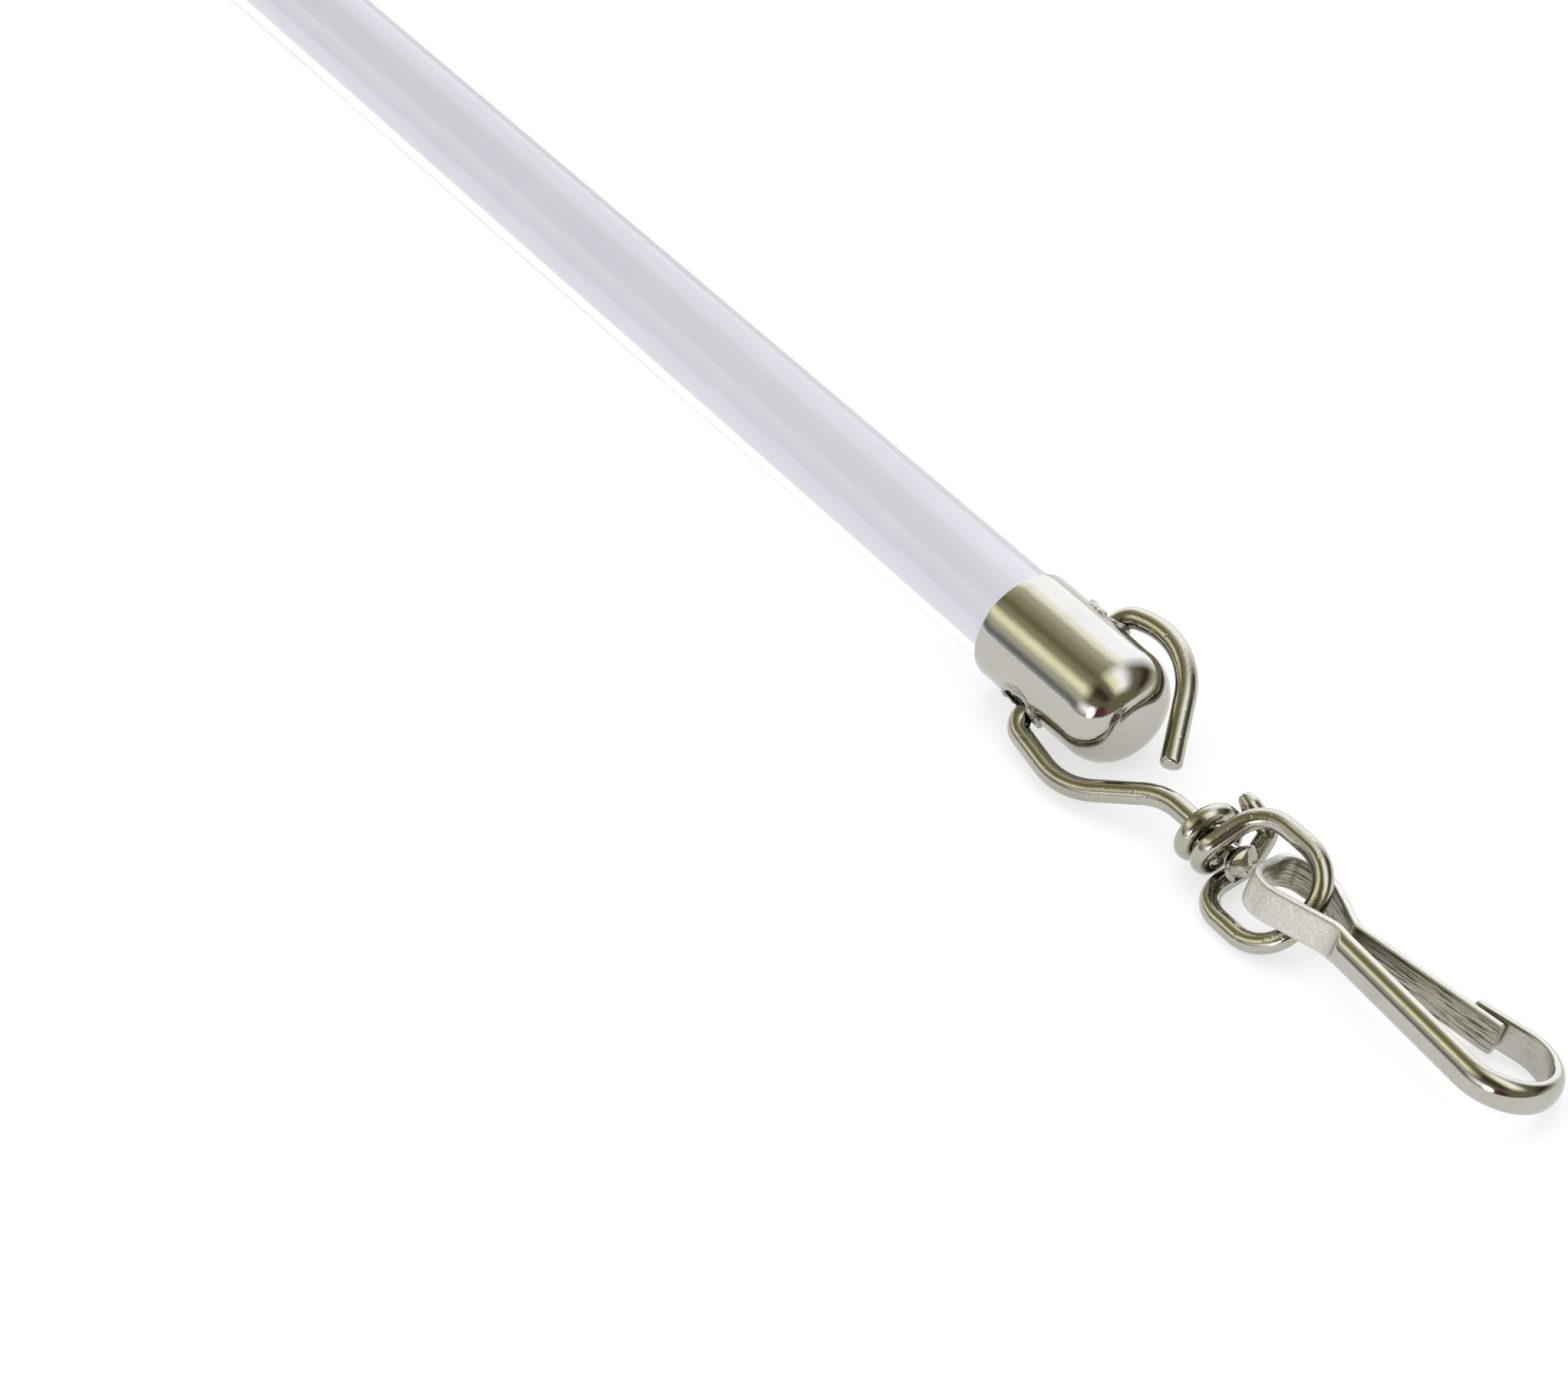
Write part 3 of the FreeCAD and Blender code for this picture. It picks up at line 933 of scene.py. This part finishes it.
# %% [markdown]
# ## The snap hook's strip
# The snap hook is one strip: half round along the hook and its long arm, pressed flat where it loops
# round the eye, and ending in a springy tongue that closes the hook. Its finish changes with its
# form, so the mesh stores two masks: `flat_face` marks the inside of the strip, and `pressed` marks
# the flattened loop. The material mixes polished, dull and line-marked metal by them, and paints
# shade on the inner face of the flattened loop as a darker colour.

# %% Finish of the strip
FROST = (0.84, 0.82, 0.77, 1)
# The colour for the inner face of the flattened loop is painted shade: that face is darkened where it
# wraps the eye.
PAINTED_LOOP_SHADE = (0.36, 0.335, 0.255, 1)
LINE = (0.07, 0.065, 0.045, 1)
FROST_SHARE = 0.2
PIT_SHARE = 0.5
LOOP_SHADE_SHARE = 0.55
DULL_ROUGH = 0.30
INNER_ROUGH = 0.16

strip_look, tree, shader, _ = new_material("strip_nickel")
tone = plated(tree, pale=(0.48, 0.465, 0.415), deep=(0.36, 0.335, 0.275), gloss=0.05, haze=0.10)
skin = add(tree, "Group", {"Scale": 6500.0}, node_tree=grain)
run_map = add(tree, "UVMap", uv_map="run")
pull = add(tree, "Group", {"Run": run_map.outputs[0]}, node_tree=drawn)
inner = add(tree, "Attribute", attribute_name="flat_face").outputs["Fac"]
pressed = add(tree, "Attribute", attribute_name="pressed").outputs["Fac"]
outer = calculate(tree, "SUBTRACT", 1.0, inner)
dull = calculate(tree, "MULTIPLY", pressed, outer)
under = calculate(tree, "MULTIPLY", inner, pressed)
pitted = calculate(tree, "MULTIPLY_ADD", skin.outputs["Pits"], PIT_SHARE, FROST_SHARE)
specked = calculate(tree, "MULTIPLY", pitted, dull)
# Painted shade: on the inner face of the flattened loop the colour is pulled towards a darker one.
shaded = calculate(tree, "MULTIPLY", under, LOOP_SHADE_SHARE)
lined = calculate(tree, "MULTIPLY", pull.outputs["Lines"], under, clamp=True)
colour = mix_colour(tree, specked, tone.outputs["Colour"], FROST)
colour = mix_colour(tree, shaded, colour, PAINTED_LOOP_SHADE)
colour = mix_colour(tree, lined, colour, LINE)
rough = calculate(tree, "MULTIPLY_ADD", dull, DULL_ROUGH, tone.outputs["Roughness"])
rough = calculate(tree, "MULTIPLY_ADD", inner, INNER_ROUGH, rough)
grainy = calculate(tree, "MULTIPLY", skin.outputs["Height"], dull)
ridged = calculate(tree, "MULTIPLY_ADD", pull.outputs["Height"], inner, grainy)
bump = add(tree, "Bump", {"Height": ridged, "Strength": 0.6, "Distance": 0.00006})
metal_surface(tree, shader, colour, rough, bump)
print("finish", strip_look.name)

# %% [markdown]
# A section is a list of points across the strip. It starts with the inner face, goes round one edge,
# over the back and round the other edge. The back is an arch where the strip is half round, and
# nearly square where it is pressed flat.

# %% Shape the strip's section
STRIP_W = 2.95
STRIP_EDGE = 0.22
ARM_T = 1.3
ARM_SIDE = 0.35
LOOP_W = 3.05
LOOP_T = 0.8
TONGUE_T = 0.75
FLAT_SIDE = 0.45
INNER_STEPS = 10
BACK_STEPS = 24
EDGE_TURNS = (0.4, 0.8, 1.2, 1.57)
ARCH = (1.0, 1.0)
SQUARE = (0.28, 0.45)


def strip_section(width, thick, flank, back):
    """Points (across, outward) round a strip. back holds the powers that shape its arch."""
    h = width / 2
    edge = STRIP_EDGE
    across_power, rise_power = back
    points = [(-h + edge + (width - 2 * edge) * k / INNER_STEPS, 0.0)
              for k in range(INNER_STEPS + 1)]
    points += [(h - edge + edge * math.sin(t), edge - edge * math.cos(t)) for t in EDGE_TURNS]
    for k in range(BACK_STEPS + 1):
        t = -math.pi / 2 + math.pi * k / BACK_STEPS
        over = math.copysign(abs(math.sin(t)) ** across_power, -math.sin(t)) * h
        points.append((over, flank + (thick - flank) * math.cos(t) ** rise_power))
    points += [(-h + edge - edge * math.sin(t), edge - edge * math.cos(t))
               for t in reversed(EDGE_TURNS)]
    return points


half_round = strip_section(STRIP_W, ARM_T, ARM_SIDE, ARCH)
pressed_flat = strip_section(LOOP_W, LOOP_T, LOOP_T * FLAT_SIDE, SQUARE)
tongue_flat = strip_section(STRIP_W, TONGUE_T, TONGUE_T * FLAT_SIDE, SQUARE)
print("section points", len(half_round), len(pressed_flat), len(tongue_flat))

# %% [markdown]
# The strip's line is flat, so it is drawn in the snap hook's own plane: x from the eye to the bend,
# y towards the tongue.

# %% Draw the strip's line
TIP = (15.4, 0.75)
TIP_RISE = 0.125
FAR = 24.25
BEND_R = 3.8
NECK = (3.3, -1.49)
ARM_SLOPE = -0.2975
LOOP = [(-4.45, -3.3), (-4.45, 3.35), (-0.55, 3.35)]
ROOT = (4.08, -0.34)
TONGUE_TO = 18.55
SNAP_RADII = [BEND_R, BEND_R, 2.2, 1.9, 1.6, 2.2, 1.2]
SNAP_HOLD = (0.09, 0.48)
SNAP_STEP = 0.2
PRESSED_FROM = (4.4, -1.82)
SPLIT_AT = (1.6, 1.7)

snap_zero = hold - run * SNAP_HOLD[0] - aside * SNAP_HOLD[1]
far_top = (FAR, TIP[1] + TIP_RISE * (FAR - TIP[0]))
far_low = (FAR, NECK[1] + ARM_SLOPE * (FAR - NECK[0]))
flat_corners = [TIP, far_top, far_low, NECK, *LOOP, ROOT, (TONGUE_TO, ROOT[1])]
flat_line = bent_line([Vector((x, y, 0)) for x, y in flat_corners], SNAP_RADII, SNAP_STEP)
flat_ways = headings(flat_line)
strip_steps = steps_along(flat_line)


def nearest_step(x, y):
    """The step of the strip's line that lies nearest to a point."""
    return min(range(len(flat_line)), key=lambda i: (flat_line[i] - Vector((x, y, 0))).length)


neck_at = nearest_step(*PRESSED_FROM)
root_at = nearest_step(*SPLIT_AT)
print("strip", round(strip_steps[-1], 1), "mm, neck at", round(strip_steps[neck_at], 1))

# %% [markdown]
# The section changes from half round to flat over one short length at the neck, and thins out towards
# the tongue. The tongue is a part of its own in the imported model, so the strip is swept as two
# pieces that meet in the loop.

# %% Sweep the strip
PRESS_OVER = 0.9
THIN_OVER = 3.0
STRIP_NIP = 0.2
STRIP_ROUND = 0.12
STRIP_GIRTH = 9.0


def eased(value):
    """A soft step from 0 to 1."""
    value = max(0.0, min(1.0, value))
    return value * value * (3 - 2 * value)


def strip_ring(i):
    """The strip's points at step i, and how far it is pressed flat there."""
    flat = eased((strip_steps[i] - strip_steps[neck_at]) / PRESS_OVER + 0.5)
    late = eased((strip_steps[i] - strip_steps[root_at]) / THIN_OVER)
    way = flat_ways[i]
    out = Vector((-way.y, way.x, 0))
    ends = min(strip_steps[i], strip_steps[-1] - strip_steps[i])
    nip = 1 - STRIP_ROUND * max(0, 1 - ends / STRIP_NIP) ** 2
    ring = []
    for (a, b), (c, d), (e, f) in zip(half_round, pressed_flat, tongue_flat):
        c, d = c + (e - c) * late, d + (f - d) * late
        over = (a + (c - a) * flat) * nip
        rise = b + (d - b) * flat
        point = flat_line[i] + out * rise
        ring.append(snap_zero + run * point.x + aside * point.y + wide * over)
    return ring, flat


def strip_piece(name, first, last):
    """The strip from one step to another, with its masks."""
    rings, flats = zip(*(strip_ring(i) for i in range(first, last + 1)))
    inside = [1.0 if k <= INNER_STEPS else 0.0 for k in range(len(rings[0]))]
    masks = {"flat_face": [inside] * len(rings), "pressed": [[f] * len(rings[0]) for f in flats]}
    distances = strip_steps[first:last + 1]
    piece = ring_mesh(name, rings, distances, [STRIP_GIRTH] * len(rings), masks=masks)
    piece.data.materials.append(strip_look)
    return piece


snap = strip_piece("snap_hook_strip", 0, root_at)
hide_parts("snap_hook")
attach(snap, "snap")
print("snap hook", len(snap.data.polygons), "faces")

# %% [markdown]
# The tongue bends at its root, so its first millimetres blend from the snap hook's section to its own.

tongue = strip_piece("snap_tongue_strip", root_at, len(flat_line) - 1)
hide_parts("snap_tongue")
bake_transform(tongue)
print("tongue", len(tongue.data.polygons), "faces")
